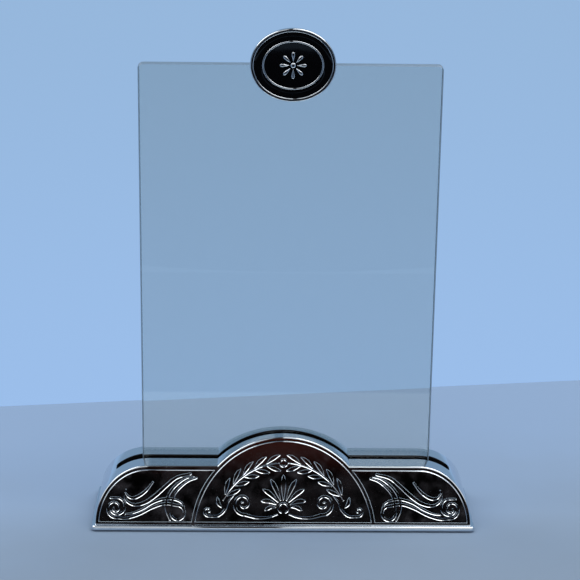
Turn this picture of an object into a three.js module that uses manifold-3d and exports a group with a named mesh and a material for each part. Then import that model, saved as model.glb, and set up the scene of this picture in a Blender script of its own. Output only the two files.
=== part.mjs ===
// Free-standing glass photo display. Two clear panes stand in the lined slot of an arched,
// chrome-plated casting, and an enamelled clip holds them together at the top edge.
// Millimetres, +Z up, front towards -Y, origin on the table under the middle of the base.
import * as THREE from 'three';
import { mergeVertices } from 'three/addons/utils/BufferGeometryUtils.js';
import Module from 'manifold-3d';

const wasm = await Module();
wasm.setup();

// Glass panes
const PANE_WIDTH = 127;
const PANE_HEIGHT = 190;
const PANE_THICKNESS = 1.8;
const PANE_CORNER_RADIUS = 2.2;
const PANE_ARRIS = 0.3;
const PRINT_GAP = 0.2;
const GLASS_SHIFT = 1.2; // the glass stands this far right of the middle of its slot

// Slot in the casting, its lining and the strip that the glass stands on
const SLOT_DEPTH = 14.7; // below the shoulders
const SLOT_SPARE = 10.6; // slot beyond each upright edge of a pane
const GLASS_CLEARANCE = 0.25;
const LINER_THICKNESS = 0.7;
const LINER_RECESS = 0.1;
const LINER_END_GAP = 1.8;
const SEAT_THICKNESS = 1;
const SEAT_GAP = 0.1;

// Chrome casting
const BASE_OVERHANG = 18.9; // casting beyond each upright edge of a pane, at the foot
const SHOULDER_HEIGHT = 24.1; // above the foot
const ARCH_HEIGHT = 36.2; // above the foot
const ARCH_RADIUS = 40.7;
const END_RUN = 23;
const TOP_LAND = 4.3; // chrome beside the slot at the top of the arch
const LEAN = THREE.MathUtils.degToRad(18.8);
const EDGE_RADIUS = 0.5;
const CASTING_WALL = 2.2;
const TROUGH_WALL = 1.8;
const TROUGH_FLOOR = 2;

// Raised front panels
const BORDER = 1.5; // sunk band round each panel
const GROOVE = 1.2; // between the medallion and each wing panel
const FOOT_BORDER = 0.9;
const PANEL_RISE = 0.6;
const PANEL_BEVEL = 0.2;
const PANEL_ROOT = 1; // how far a wing panel runs back into the casting

// Centre medallion, its studs and push-on nuts
const MEDALLION_SINK = 1;
const MEDALLION_CLEARANCE = 0.15;
const STUD_RADIUS = 1.5;
const STUD_SPACING = 40;
const STUD_HEIGHT = 12; // above the foot
const STUD_END = 1.5;
const STUD_CLEARANCE = 0.2;
const RETAINER_RADIUS = 4;
const RETAINER_THICKNESS = 0.6;
const RETAINER_DISH = 0.5;
const RETAINER_GAP = 0.1;

// Base plate, felt and screws
const FELT_THICKNESS = 0.8;
const FELT_INSET = 1.6;
const PLATE_THICKNESS = 1.8;
const PLATE_LIP_ENDS = 1.6;
const PLATE_LIP_SIDES = 2.6;
const PLATE_CORNER_RADIUS = 2;
const PLATE_EDGE_RADIUS = 0.9;
const BOSS_INSET = 11.5; // boss axis inside the upright edge of a pane
const BOSS_RADIUS = 2.8;
const SCREW_RADIUS = 1.3;
const SCREW_HEAD_RADIUS = 2.5;
const SCREW_HEAD_HEIGHT = 1.2;
const SCREW_LENGTH = 8;
const SCREW_CLEARANCE = 0.15;

// Top clip
const CLIP_SHIFT = 0.8; // badge centre from the middle of the glass
const CLIP_SEAT_GAP = 0.1;
const CLIP_WIDTH = 14;
const SPRING_THICKNESS = 0.6;
const SPRING_BEND = 1;
const FRONT_LEG = 11;
const REAR_LEG = 12.2;
const TIP_DROP = 2.2;
const TIP_FLARE = 1.4;
const PAD_THICKNESS = 0.8;
const PAD_CLEARANCE = 0.1;
const PAD_MARGIN = 1;
const RIVET_RADIUS = 0.8;
const RIVET_HEAD_RADIUS = 1.4;
const RIVET_HEAD_THICKNESS = 0.5;
const RIVET_CLEARANCE = 0.15;
const RIVET_DEPTH = 1.2;
const RIVET_SPACING = 8;
const RIVET_DROP = 6;

// Badge on the clip
const BADGE_WIDTH = 35.7;
const BADGE_HEIGHT = 30.6;
const BADGE_THICKNESS = 2.6;
const BADGE_LIFT = 0.3; // badge centre above the top edge of the glass
const BADGE_EDGE = 0.5;
const BADGE_RIM = 1.6;
const ENAMEL_RING_WIDTH = 3.4;
const FILLET_LINE = 0.9; // chrome line between the two enamel fields
const ENAMEL_RECESS = 0.9;
const ENAMEL_SUNK = 0.15;
const ENAMEL_CLEARANCE = 0.05;

// Facets
const CURVE_STEPS = 18;
const CORNER_STEPS = 5;
const ROUND_STEPS = 20;
const OVAL_STEPS = 44;
const LIP_STEPS = 3;

// Places that follow from the sizes above
const GLASS_HALF = PRINT_GAP / 2 + PANE_THICKNESS;
const SLOT_HALF = GLASS_HALF + GLASS_CLEARANCE + LINER_THICKNESS;
const SLOT_HALF_LENGTH = PANE_WIDTH / 2 + SLOT_SPARE;
const TROUGH_HALF = SLOT_HALF + TROUGH_WALL;
const LINER_HALF_LENGTH = SLOT_HALF_LENGTH - LINER_END_GAP;
const FOOT_Z = FELT_THICKNESS + PLATE_THICKNESS;
const FOOT_HALF = PANE_WIDTH / 2 + BASE_OVERHANG;
const END_CENTRE = FOOT_HALF - END_RUN;
const ARCH_CENTRE = ARCH_HEIGHT - ARCH_RADIUS;
const MEDALLION_RADIUS = ARCH_RADIUS - BORDER;
const SLOT_FLOOR = SHOULDER_HEIGHT - SLOT_DEPTH;
const PANE_FOOT_Z = FOOT_Z + SLOT_FLOOR + SEAT_THICKNESS + SEAT_GAP;
const PANE_TOP_Z = PANE_FOOT_Z + PANE_HEIGHT;
const SPRING_HALF = GLASS_HALF + PAD_CLEARANCE + PAD_THICKNESS;
const BADGE_BACK = SPRING_HALF + SPRING_THICKNESS;

// Half of the casting's depth at a height above the foot.
function halfDepth(height) {
  return SLOT_HALF + TOP_LAND + (ARCH_HEIGHT - height) * Math.tan(LEAN);
}

// The same, to the inside of the casting's wall.
function innerHalfDepth(height) {
  return halfDepth(height) - CASTING_WALL / Math.cos(LEAN);
}

const BOSS_X = PANE_WIDTH / 2 - BOSS_INSET;
const BOSS_Y = (TROUGH_HALF + innerHalfDepth(0)) / 2;
const PLATE_HALF_LENGTH = FOOT_HALF + PLATE_LIP_ENDS;
const PLATE_HALF_DEPTH = halfDepth(0) + PLATE_LIP_SIDES;

const LOOKS = {
  chrome: { color: 0xd3d7db, roughness: 0.06, metalness: 1 },
  steel: { color: 0xb3b6b8, roughness: 0.32, metalness: 1 },
  glass: { color: 0xc9dee4, roughness: 0.02, metalness: 0 },
  enamel: { color: 0x060607, roughness: 0.08, metalness: 0 },
  felt: { color: 0x101012, roughness: 0.95, metalness: 0 },
  rubber: { color: 0x161616, roughness: 0.8, metalness: 0 },
};

// Solids for cutting and joining

// A closed geometry as a solid.
function solidOf(geometry) {
  const bare = geometry.clone();
  bare.deleteAttribute('normal');
  bare.deleteAttribute('uv');
  const welded = mergeVertices(bare);
  return new wasm.Manifold(new wasm.Mesh({
    numProp: 3,
    vertProperties: new Float32Array(welded.attributes.position.array),
    triVerts: new Uint32Array(welded.index.array),
  }));
}

// A solid as a geometry.
function geometryOf(solid) {
  const mesh = solid.getMesh();
  const geometry = new THREE.BufferGeometry();
  geometry.setAttribute('position', new THREE.BufferAttribute(mesh.vertProperties, 3));
  geometry.setIndex(new THREE.BufferAttribute(mesh.triVerts, 1));
  geometry.computeVertexNormals();
  return geometry;
}

// Shapes drawn in the X-Z plane, then pushed along Y

// Extrudes an X-Z shape from y = back towards the front, to y = front.
function frontal(shape, front, back, edge = 0, edgeSteps = 1) {
  const geometry = new THREE.ExtrudeGeometry(shape, {
    depth: back - front - 2 * edge,
    curveSegments: CURVE_STEPS,
    bevelEnabled: edge > 0,
    bevelThickness: edge,
    bevelSize: edge,
    bevelOffset: -edge,
    bevelSegments: edgeSteps,
  });
  geometry.rotateX(Math.PI / 2);
  return geometry.translate(0, back - edge, 0);
}

// Extrudes a Y-Z shape along X, centred.
function sideways(shape, length) {
  const geometry = new THREE.ExtrudeGeometry(shape, {
    depth: length,
    curveSegments: CORNER_STEPS,
    bevelEnabled: false,
  });
  geometry.translate(0, 0, -length / 2);
  return geometry.applyMatrix4(new THREE.Matrix4().makeBasis(
    new THREE.Vector3(0, 1, 0),
    new THREE.Vector3(0, 0, 1),
    new THREE.Vector3(1, 0, 0),
  ));
}

// A box given by its lowest and highest corners.
function boxBetween(low, high) {
  const [w, d, h] = high.map((value, i) => value - low[i]);
  const geometry = new THREE.BoxGeometry(w, d, h);
  return geometry.translate(low[0] + w / 2, low[1] + d / 2, low[2] + h / 2);
}

// A rectangle with round corners, centred across and standing on a given level.
function roundedRectangle(halfWidth, low, high, radius) {
  const shape = new THREE.Shape();
  shape.absarc(halfWidth - radius, high - radius, radius, 0, Math.PI / 2);
  shape.absarc(-halfWidth + radius, high - radius, radius, Math.PI / 2, Math.PI);
  shape.absarc(-halfWidth + radius, low + radius, radius, Math.PI, 1.5 * Math.PI);
  shape.absarc(halfWidth - radius, low + radius, radius, 1.5 * Math.PI, 2 * Math.PI);
  return new THREE.Shape(shape.getPoints(CORNER_STEPS));
}

// A horizontal plate with round corners and, if asked for, a rounded upper edge.
function flatPlate(halfLength, halfWidth, radius, low, high, edge = 0) {
  const below = low - edge;
  const outline = roundedRectangle(halfLength, -halfWidth, halfWidth, radius);
  const plate = frontal(outline, -high, -below, edge, LIP_STEPS);
  plate.rotateX(-Math.PI / 2);
  if (edge === 0) {
    return solidOf(plate);
  }
  const under = boxBetween(
    [-2 * halfLength, -2 * halfWidth, below - edge],
    [2 * halfLength, 2 * halfWidth, low],
  );
  return solidOf(plate).subtract(solidOf(under));
}

// A revolved piece on a vertical axis from a closed profile of [radius, height] points.
function turned(profile) {
  const points = profile.map(([radius, height]) => new THREE.Vector2(radius, height));
  return new THREE.LatheGeometry(points, ROUND_STEPS).rotateX(Math.PI / 2);
}

// Outlines of the base, in X and height above the foot

// The arched outline, moved in by inset; below the foot it can run on straight down.
function baseOutline(inset, drop = 0) {
  const run = END_RUN - inset;
  const rise = SHOULDER_HEIGHT - inset;
  const radius = ARCH_RADIUS - inset;
  const spring = Math.asin((rise - ARCH_CENTRE) / radius);
  const shape = new THREE.Shape();
  shape.absellipse(-END_CENTRE, 0, run, rise, Math.PI, Math.PI / 2, true);
  shape.absarc(0, ARCH_CENTRE, radius, Math.PI - spring, spring, true);
  shape.absellipse(END_CENTRE, 0, run, rise, Math.PI / 2, 0, true);
  if (drop > 0) {
    shape.lineTo(END_CENTRE + run, -drop);
    shape.lineTo(-END_CENTRE - run, -drop);
  }
  return shape;
}

// The part of a disc about the arch's centre that stands above a level.
function archSegment(radius, level) {
  const start = Math.asin((level - ARCH_CENTRE) / radius);
  const shape = new THREE.Shape();
  shape.absarc(0, ARCH_CENTRE, radius, start, Math.PI - start, false);
  return shape;
}

// One wing panel, between the arch and the rounded end, inside the sunk border.
function wingOutline(side) {
  const run = END_RUN - BORDER;
  const rise = SHOULDER_HEIGHT - BORDER;
  const radius = MEDALLION_RADIUS + GROOVE;
  const low = Math.asin((FOOT_BORDER - ARCH_CENTRE) / radius);
  const high = Math.asin((rise - ARCH_CENTRE) / radius);
  const shape = new THREE.Shape();
  shape.absellipse(END_CENTRE, 0, run, rise, Math.asin(FOOT_BORDER / rise), Math.PI / 2);
  shape.absarc(0, ARCH_CENTRE, radius, high, low, true);
  return new THREE.Shape(shape.getPoints(CURVE_STEPS).map((p) => new THREE.Vector2(side * p.x, p.y)));
}

// Lifts a frontal piece to the foot and scales its depth to follow the leaning faces.
function tapered(geometry, halfAt, halfMade) {
  const place = geometry.attributes.position;
  for (let i = 0; i < place.count; i += 1) {
    place.setY(i, place.getY(i) * halfAt(place.getZ(i)) / halfMade);
  }
  return geometry.translate(0, 0, FOOT_Z);
}

// A slab on the leaning front face, from one distance out of that face to another.
function onFrontFace(shape, inner, outer, edge = 0) {
  const geometry = frontal(shape, -outer, -inner, edge);
  const place = geometry.attributes.position;
  for (let i = 0; i < place.count; i += 1) {
    place.setY(i, place.getY(i) - halfDepth(place.getZ(i)));
  }
  return geometry.translate(0, 0, FOOT_Z);
}

// Stands a piece made about the Z axis on the front face at a stud, pointing into the casting.
function atStud(geometry, side) {
  geometry.rotateX(-Math.PI / 2 - LEAN);
  return geometry.translate(
    side * STUD_SPACING / 2,
    -halfDepth(STUD_HEIGHT),
    FOOT_Z + STUD_HEIGHT,
  );
}

// A round bar along Z between two heights.
function bar(radius, low, high) {
  return turned([[0, low], [radius, low], [radius, high], [0, high]]);
}

const SIDES = [-1, 1];
const CORNERS = [[-1, -1], [1, -1], [1, 1], [-1, 1]];

// Pieces of the base

// The hollow casting: outer form, cavity below, slot trough, bosses and wing panels.
function baseCasting() {
  const footHalf = halfDepth(0);
  const cavityHalf = innerHalfDepth(0);
  const beyond = 2 * CASTING_WALL;
  const form = frontal(baseOutline(0), -footHalf, footHalf, EDGE_RADIUS);
  const outer = solidOf(tapered(form, halfDepth, footHalf));
  const hollow = frontal(baseOutline(CASTING_WALL, beyond), -cavityHalf, cavityHalf);
  const trough = boxBetween(
    [-SLOT_HALF_LENGTH - TROUGH_WALL, -TROUGH_HALF, FOOT_Z + SLOT_FLOOR - TROUGH_FLOOR],
    [SLOT_HALF_LENGTH + TROUGH_WALL, TROUGH_HALF, FOOT_Z + ARCH_HEIGHT],
  );
  const cavity = solidOf(tapered(hollow, innerHalfDepth, cavityHalf)).subtract(solidOf(trough));
  const slot = boxBetween(
    [-SLOT_HALF_LENGTH, -SLOT_HALF, FOOT_Z + SLOT_FLOOR],
    [SLOT_HALF_LENGTH, SLOT_HALF, FOOT_Z + ARCH_HEIGHT + beyond],
  );
  const pocket = onFrontFace(
    archSegment(MEDALLION_RADIUS + MEDALLION_CLEARANCE, FOOT_BORDER - MEDALLION_CLEARANCE),
    -MEDALLION_SINK,
    beyond,
  );

  let casting = outer.subtract(cavity);
  for (const [x, y] of CORNERS) {
    const boss = bar(BOSS_RADIUS, FOOT_Z, FOOT_Z + SHOULDER_HEIGHT).translate(x * BOSS_X, y * BOSS_Y, 0);
    casting = casting.add(solidOf(boss).intersect(outer));
  }
  casting = casting.subtract(solidOf(slot)).subtract(solidOf(pocket));
  for (const side of SIDES) {
    const panel = onFrontFace(wingOutline(side), -PANEL_ROOT, PANEL_RISE, PANEL_BEVEL);
    const hole = bar(STUD_RADIUS + STUD_CLEARANCE, 0, MEDALLION_SINK + beyond);
    casting = casting.add(solidOf(panel)).subtract(solidOf(atStud(hole, side)));
  }
  for (const [x, y] of CORNERS) {
    const deep = FELT_THICKNESS + SCREW_LENGTH + SCREW_CLEARANCE;
    const pilot = bar(SCREW_RADIUS + SCREW_CLEARANCE, 0, deep);
    casting = casting.subtract(solidOf(pilot.translate(x * BOSS_X, y * BOSS_Y, 0)));
  }
  return geometryOf(casting);
}

// The half-round plate in its pocket, with two studs on its back.
function centreMedallion() {
  const plate = onFrontFace(
    archSegment(MEDALLION_RADIUS, FOOT_BORDER),
    SEAT_GAP - MEDALLION_SINK,
    PANEL_RISE,
    PANEL_BEVEL,
  );
  let medallion = solidOf(plate);
  for (const side of SIDES) {
    const end = CASTING_WALL + RETAINER_GAP + RETAINER_THICKNESS + RETAINER_DISH + STUD_END;
    medallion = medallion.add(solidOf(atStud(bar(STUD_RADIUS, 0, end), side)));
  }
  return geometryOf(medallion);
}

// A dished push-on nut on the inside of the front wall.
function medallionRetainer(side) {
  const bore = STUD_RADIUS + STUD_CLEARANCE;
  const seat = CASTING_WALL + RETAINER_GAP;
  const nut = turned([
    [bore, seat + RETAINER_DISH],
    [RETAINER_RADIUS, seat],
    [RETAINER_RADIUS, seat + RETAINER_THICKNESS],
    [bore, seat + RETAINER_DISH + RETAINER_THICKNESS],
    [bore, seat + RETAINER_DISH],
  ]);
  return atStud(nut, side);
}

// A countersunk screw standing on the plate's underside, made larger all round by a clearance.
function baseScrew(clearance) {
  const head = SCREW_HEAD_RADIUS + clearance;
  const shank = SCREW_RADIUS + clearance;
  const low = FELT_THICKNESS;
  return turned([
    [0, low],
    [head, low],
    [shank, low + SCREW_HEAD_HEIGHT],
    [shank, low + SCREW_LENGTH],
    [0, low + SCREW_LENGTH],
  ]);
}

// The plate under the casting, whose rounded edge is the lip, countersunk for its screws.
function basePlate() {
  let plate = flatPlate(
    PLATE_HALF_LENGTH, PLATE_HALF_DEPTH, PLATE_CORNER_RADIUS, FELT_THICKNESS, FOOT_Z, PLATE_EDGE_RADIUS,
  );
  for (const [x, y] of CORNERS) {
    plate = plate.subtract(solidOf(baseScrew(SCREW_CLEARANCE).translate(x * BOSS_X, y * BOSS_Y, 0)));
  }
  return geometryOf(plate);
}

// The felt under the plate.
function feltPad() {
  return geometryOf(flatPlate(
    PLATE_HALF_LENGTH - FELT_INSET, PLATE_HALF_DEPTH - FELT_INSET, PLATE_CORNER_RADIUS, 0, FELT_THICKNESS,
  ));
}

// A felt strip on one wall of the slot, up to just under the chrome.
function slotLiner(side) {
  const faces = [side * SLOT_HALF, side * (SLOT_HALF - LINER_THICKNESS)];
  const strip = frontal(baseOutline(LINER_RECESS), Math.min(...faces), Math.max(...faces));
  const room = boxBetween(
    [-LINER_HALF_LENGTH, -SLOT_HALF, FOOT_Z + SLOT_FLOOR],
    [LINER_HALF_LENGTH, SLOT_HALF, FOOT_Z + ARCH_HEIGHT],
  );
  return geometryOf(solidOf(strip.translate(0, 0, FOOT_Z)).intersect(solidOf(room)));
}

// The strip on the slot's floor, between the two linings.
function glassSeat() {
  const half = SLOT_HALF - LINER_THICKNESS - SEAT_GAP;
  const low = FOOT_Z + SLOT_FLOOR;
  return boxBetween([-LINER_HALF_LENGTH, -half, low], [LINER_HALF_LENGTH, half, low + SEAT_THICKNESS]);
}

// Glass

// One pane with ground edges, from the middle of the print gap outwards.
function pane(side) {
  const shape = roundedRectangle(PANE_WIDTH / 2, PANE_FOOT_Z, PANE_TOP_Z, PANE_CORNER_RADIUS);
  const faces = [side * PRINT_GAP / 2, side * GLASS_HALF];
  return frontal(shape, Math.min(...faces), Math.max(...faces), PANE_ARRIS);
}

// Pieces of the clip, with z = 0 at the top edge of the glass

// The bent spring strip: short front leg, bridge over the glass, long rear leg with a flared tip.
function clipSpring() {
  const outer = SPRING_HALF + SPRING_THICKNESS;
  const bend = SPRING_BEND + SPRING_THICKNESS;
  const bendY = SPRING_HALF - SPRING_BEND;
  const bendZ = CLIP_SEAT_GAP - SPRING_BEND;
  const shape = new THREE.Shape();
  shape.moveTo(-outer, -FRONT_LEG);
  shape.lineTo(-SPRING_HALF, -FRONT_LEG);
  shape.absarc(-bendY, bendZ, SPRING_BEND, Math.PI, Math.PI / 2, true);
  shape.absarc(bendY, bendZ, SPRING_BEND, Math.PI / 2, 0, true);
  shape.lineTo(SPRING_HALF, -REAR_LEG);
  shape.lineTo(SPRING_HALF + TIP_FLARE, -REAR_LEG - TIP_DROP);
  shape.lineTo(outer + TIP_FLARE, -REAR_LEG - TIP_DROP);
  shape.lineTo(outer, -REAR_LEG);
  shape.absarc(bendY, bendZ, bend, 0, Math.PI / 2);
  shape.absarc(-bendY, bendZ, bend, Math.PI / 2, Math.PI);
  let spring = solidOf(sideways(shape, CLIP_WIDTH));
  for (const side of SIDES) {
    spring = spring.subtract(solidOf(atRivet(bar(RIVET_RADIUS + RIVET_CLEARANCE, 0, BADGE_BACK), side)));
  }
  return geometryOf(spring);
}

// Lays a piece made about the Z axis along Y at a rivet, with its z = 0 on the middle of the glass.
function atRivet(geometry, side) {
  geometry.rotateX(Math.PI / 2);
  return geometry.translate(side * RIVET_SPACING / 2, 0, -RIVET_DROP);
}

// A rivet: flat head on the spring's inner face, shank through it into the badge.
function clipRivet(side) {
  return atRivet(turned([
    [0, SPRING_HALF - RIVET_HEAD_THICKNESS],
    [RIVET_HEAD_RADIUS, SPRING_HALF - RIVET_HEAD_THICKNESS],
    [RIVET_HEAD_RADIUS, SPRING_HALF],
    [RIVET_RADIUS, SPRING_HALF],
    [RIVET_RADIUS, BADGE_BACK + RIVET_DEPTH],
    [0, BADGE_BACK + RIVET_DEPTH],
  ]), side);
}

// A felt pad on a leg's inner face, with holes for the rivet heads on the front one.
function clipPad(side) {
  const leg = side < 0 ? FRONT_LEG : REAR_LEG;
  const half = CLIP_WIDTH / 2 - PAD_MARGIN;
  const shape = roundedRectangle(half, PAD_MARGIN - leg, -2 * PAD_MARGIN, PAD_MARGIN);
  const faces = [side * SPRING_HALF, side * (SPRING_HALF - PAD_THICKNESS)];
  let pad = solidOf(frontal(shape, Math.min(...faces), Math.max(...faces)));
  if (side < 0) {
    for (const rivet of SIDES) {
      const hole = bar(RIVET_HEAD_RADIUS + RIVET_CLEARANCE, 0, BADGE_BACK);
      pad = pad.subtract(solidOf(atRivet(hole, rivet)));
    }
  }
  return geometryOf(pad);
}

// The badge's oval, moved in by inset.
function badgeOval(inset) {
  const shape = new THREE.Shape();
  shape.absellipse(0, BADGE_LIFT, BADGE_WIDTH / 2 - inset, BADGE_HEIGHT / 2 - inset, 0, 2 * Math.PI);
  return new THREE.Shape(shape.getPoints(OVAL_STEPS).slice(1));
}

const BADGE_FACE = -BADGE_BACK - BADGE_THICKNESS;
const ENAMEL_FLOOR = BADGE_FACE + ENAMEL_RECESS;
const RING_INNER = BADGE_RIM + ENAMEL_RING_WIDTH;
const CENTRE_EDGE = RING_INNER + FILLET_LINE;

// An oval solid, or an oval ring where an inner inset is given.
function ovalBody(inset, innerInset, front, back) {
  const body = solidOf(frontal(badgeOval(inset), front, back));
  if (innerInset === null) {
    return body;
  }
  return body.subtract(solidOf(frontal(badgeOval(innerInset), front - 1, back + 1)));
}

// The oval plate with its two enamel recesses and blind rivet holes.
function badgeCasting() {
  const above = BADGE_FACE - ENAMEL_RECESS;
  let badge = solidOf(frontal(badgeOval(0), BADGE_FACE, -BADGE_BACK, BADGE_EDGE));
  badge = badge.subtract(ovalBody(BADGE_RIM, RING_INNER, above, ENAMEL_FLOOR));
  badge = badge.subtract(ovalBody(CENTRE_EDGE, null, above, ENAMEL_FLOOR));
  for (const side of SIDES) {
    const hole = bar(RIVET_RADIUS + RIVET_CLEARANCE, 0, BADGE_BACK + RIVET_DEPTH + RIVET_CLEARANCE);
    badge = badge.subtract(solidOf(atRivet(hole, side)));
  }
  return geometryOf(badge);
}

// Enamel in one recess.
function enamelFill(inset, innerInset) {
  const inner = innerInset === null ? null : innerInset - ENAMEL_CLEARANCE;
  return geometryOf(ovalBody(inset + ENAMEL_CLEARANCE, inner, BADGE_FACE + ENAMEL_SUNK, ENAMEL_FLOOR));
}

// Assembly

const display = new THREE.Group();
const base = new THREE.Group();
const glass = new THREE.Group();
const clip = new THREE.Group();
glass.position.x = GLASS_SHIFT;
clip.position.set(GLASS_SHIFT + CLIP_SHIFT, 0, PANE_TOP_Z);
display.add(base, glass, clip);

// Adds a named piece to a group.
function piece(group, name, geometry, look) {
  const mesh = new THREE.Mesh(geometry, new THREE.MeshStandardMaterial(LOOKS[look]));
  mesh.name = name;
  group.add(mesh);
}

piece(base, 'base_casting', baseCasting(), 'chrome');
piece(base, 'centre_medallion', centreMedallion(), 'chrome');
piece(base, 'medallion_retainer_left', medallionRetainer(-1), 'steel');
piece(base, 'medallion_retainer_right', medallionRetainer(1), 'steel');
piece(base, 'base_plate', basePlate(), 'chrome');
CORNERS.forEach(([x, y], i) => {
  piece(base, `base_screw_${i + 1}`, baseScrew(0).translate(x * BOSS_X, y * BOSS_Y, 0), 'steel');
});
piece(base, 'felt_pad', feltPad(), 'felt');
piece(base, 'slot_liner_front', slotLiner(-1), 'felt');
piece(base, 'slot_liner_rear', slotLiner(1), 'felt');
piece(base, 'glass_seat', glassSeat(), 'rubber');

piece(glass, 'front_pane', pane(-1), 'glass');
piece(glass, 'rear_pane', pane(1), 'glass');

piece(clip, 'badge_casting', badgeCasting(), 'chrome');
piece(clip, 'badge_enamel_ring', enamelFill(BADGE_RIM, RING_INNER), 'enamel');
piece(clip, 'badge_enamel_centre', enamelFill(CENTRE_EDGE, null), 'enamel');
piece(clip, 'clip_spring', clipSpring(), 'steel');
piece(clip, 'clip_rivet_left', clipRivet(-1), 'steel');
piece(clip, 'clip_rivet_right', clipRivet(1), 'steel');
piece(clip, 'clip_pad_front', clipPad(-1), 'felt');
piece(clip, 'clip_pad_rear', clipPad(1), 'felt');

export default display;
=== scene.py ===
"""Dresses a free-standing glass photo display.

Two clear panes stand in the lined slot of an arched, chrome-plated casting, and an enamelled
clip holds them together at the top. Sizes are in millimetres in the object's own frame (+X to
the right, the front towards -Y, +Z up) and become metres when a mesh is made.
"""
import logging
import math
from collections.abc import Sequence
from dataclasses import dataclass
from enum import Enum

import bmesh
import bpy
import numpy as np
from mathutils import Matrix, Vector
from mathutils.geometry import delaunay_2d_cdt


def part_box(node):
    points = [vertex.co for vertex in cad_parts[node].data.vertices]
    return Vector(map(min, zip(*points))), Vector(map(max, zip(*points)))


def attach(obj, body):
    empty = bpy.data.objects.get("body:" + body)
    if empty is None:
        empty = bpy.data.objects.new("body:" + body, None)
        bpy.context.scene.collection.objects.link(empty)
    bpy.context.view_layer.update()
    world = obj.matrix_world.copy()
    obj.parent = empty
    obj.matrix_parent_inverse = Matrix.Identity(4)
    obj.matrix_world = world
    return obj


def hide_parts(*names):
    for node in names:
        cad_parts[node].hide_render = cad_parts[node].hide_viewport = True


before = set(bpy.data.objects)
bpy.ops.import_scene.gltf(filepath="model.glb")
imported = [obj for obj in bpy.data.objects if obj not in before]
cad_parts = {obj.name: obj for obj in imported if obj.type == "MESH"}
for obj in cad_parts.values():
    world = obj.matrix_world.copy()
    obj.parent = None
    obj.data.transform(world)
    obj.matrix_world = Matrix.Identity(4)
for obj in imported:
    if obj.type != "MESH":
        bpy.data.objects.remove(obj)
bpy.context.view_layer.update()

LOG = logging.getLogger("photo_display")
MM = 0.001
WELD = 2e-7  # metres; closer points of a mesh become one
SLIVER = 1e-8  # metres; shorter edges are dissolved
LEVEL = 1e-3  # a triangle whose corners' heights differ less is level
CUT = 1e-5  # how near the lines of a cut face have to come to meet
TOUCH = 1e-6  # slack where two sizes should be the same

Line = np.ndarray  # points of a plane line, one (across, up) row each
Profile = tuple[tuple[float, float], ...]  # how far in from the edge, and the height or its share there


class Body(Enum):
    """Bodies that move by themselves."""

    BASE = "base"
    FRONT_GLASS = "front_glass"
    REAR_GLASS = "rear_glass"
    CLIP = "top_clip"


class Slot(Enum):
    """Material slots of the record."""

    CHROME = "chrome_plate"
    GLASS = "clear_glass"
    ENAMEL = "black_enamel"
    FELT = "black_felt"
    RUBBER = "black_rubber"
    SPRING = "spring_steel"
    ZINC = "zinc_steel"


# Lines in a plane


def through(points: Sequence[tuple[float, float]], step: float = 0.4) -> Line:
    """Draws a smooth line through a few points.

    Args:
        points: places that the line passes, in order.
        step: about how far apart the line's own points lie.

    Returns:
        The line.
    """
    knots = np.array(points, float)
    ends = (2 * knots[0] - knots[1], 2 * knots[-1] - knots[-2])
    knots = np.vstack([ends[0], knots, ends[1]])
    line = [knots[1]]
    for a, b, c, d in zip(knots, knots[1:], knots[2:], knots[3:]):
        count = max(2, round(np.linalg.norm(c - b) / step))
        for t in np.arange(1, count + 1) / count:
            bend = (2 * a - 5 * b + 4 * c - d) * t**2 + (3 * b - a - 3 * c + d) * t**3
            line.append(b + ((c - a) * t + bend) / 2)
    return np.array(line)


def whorl(
    centre: tuple[float, float],
    radii: tuple[float, float],
    start: float,
    sweep: float,
    power: float = 1.0,
    step: float = 0.4,
) -> Line:
    """Draws an arc, or a spiral where its two radii differ.

    Args:
        centre: middle of the turn.
        radii: radius at the start and at the end.
        start: angle of the first point in degrees.
        sweep: how far it turns in degrees, against the clock if positive.
        power: how late the radius changes; 1 is steady.
        step: about how far apart the line's points lie.

    Returns:
        The line.
    """
    count = max(6, math.ceil(abs(math.radians(sweep)) * max(radii) / step))
    share = np.linspace(0, 1, count + 1)
    angle = np.radians(start + sweep * share)
    radius = radii[0] + (radii[1] - radii[0]) * share**power
    return np.column_stack([centre[0] + radius * np.cos(angle), centre[1] + radius * np.sin(angle)])


def mirrored(line: Line) -> Line:
    """The same line on the other side of the middle."""
    return line * (-1, 1)


def lengths(line: Line) -> np.ndarray:
    """Distance of each of a line's points from its start, along the line."""
    return np.concatenate([[0], np.cumsum(np.linalg.norm(np.diff(line, axis=0), axis=1))])


def oval(half_width: float, half_height: float, count: int) -> Line:
    """A closed oval about the origin."""
    angle = np.arange(count) * 2 * np.pi / count
    return np.column_stack([half_width * np.cos(angle), half_height * np.sin(angle)])


def rounded_rectangle(half_width: float, half_height: float, radius: float, steps: int) -> Line:
    """Draws a closed rectangle with round corners about the origin.

    Args:
        half_width: half of its size across.
        half_height: half of its size upwards.
        radius: radius of its corners.
        steps: how many steps a corner takes.

    Returns:
        The line.
    """
    corners = []
    for turn, (side, top) in enumerate(((1, 1), (-1, 1), (-1, -1), (1, -1))):
        middle = (side * (half_width - radius), top * (half_height - radius))
        corners.append(whorl(middle, (radius, radius), 90 * turn, 90, step=math.pi * radius / 2 / steps))
    return np.vstack(corners)


def upright(plan: Line, depth: float) -> np.ndarray:
    """Stands a plane line up at a depth, as points of space."""
    return np.column_stack([plan[:, 0], np.full(len(plan), depth), plan[:, 1]])


def lying(plan: Line, height: float) -> np.ndarray:
    """Lays a plane line flat at a height, as points of space."""
    return np.column_stack([plan, np.full(len(plan), height)])


# Meshes


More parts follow.
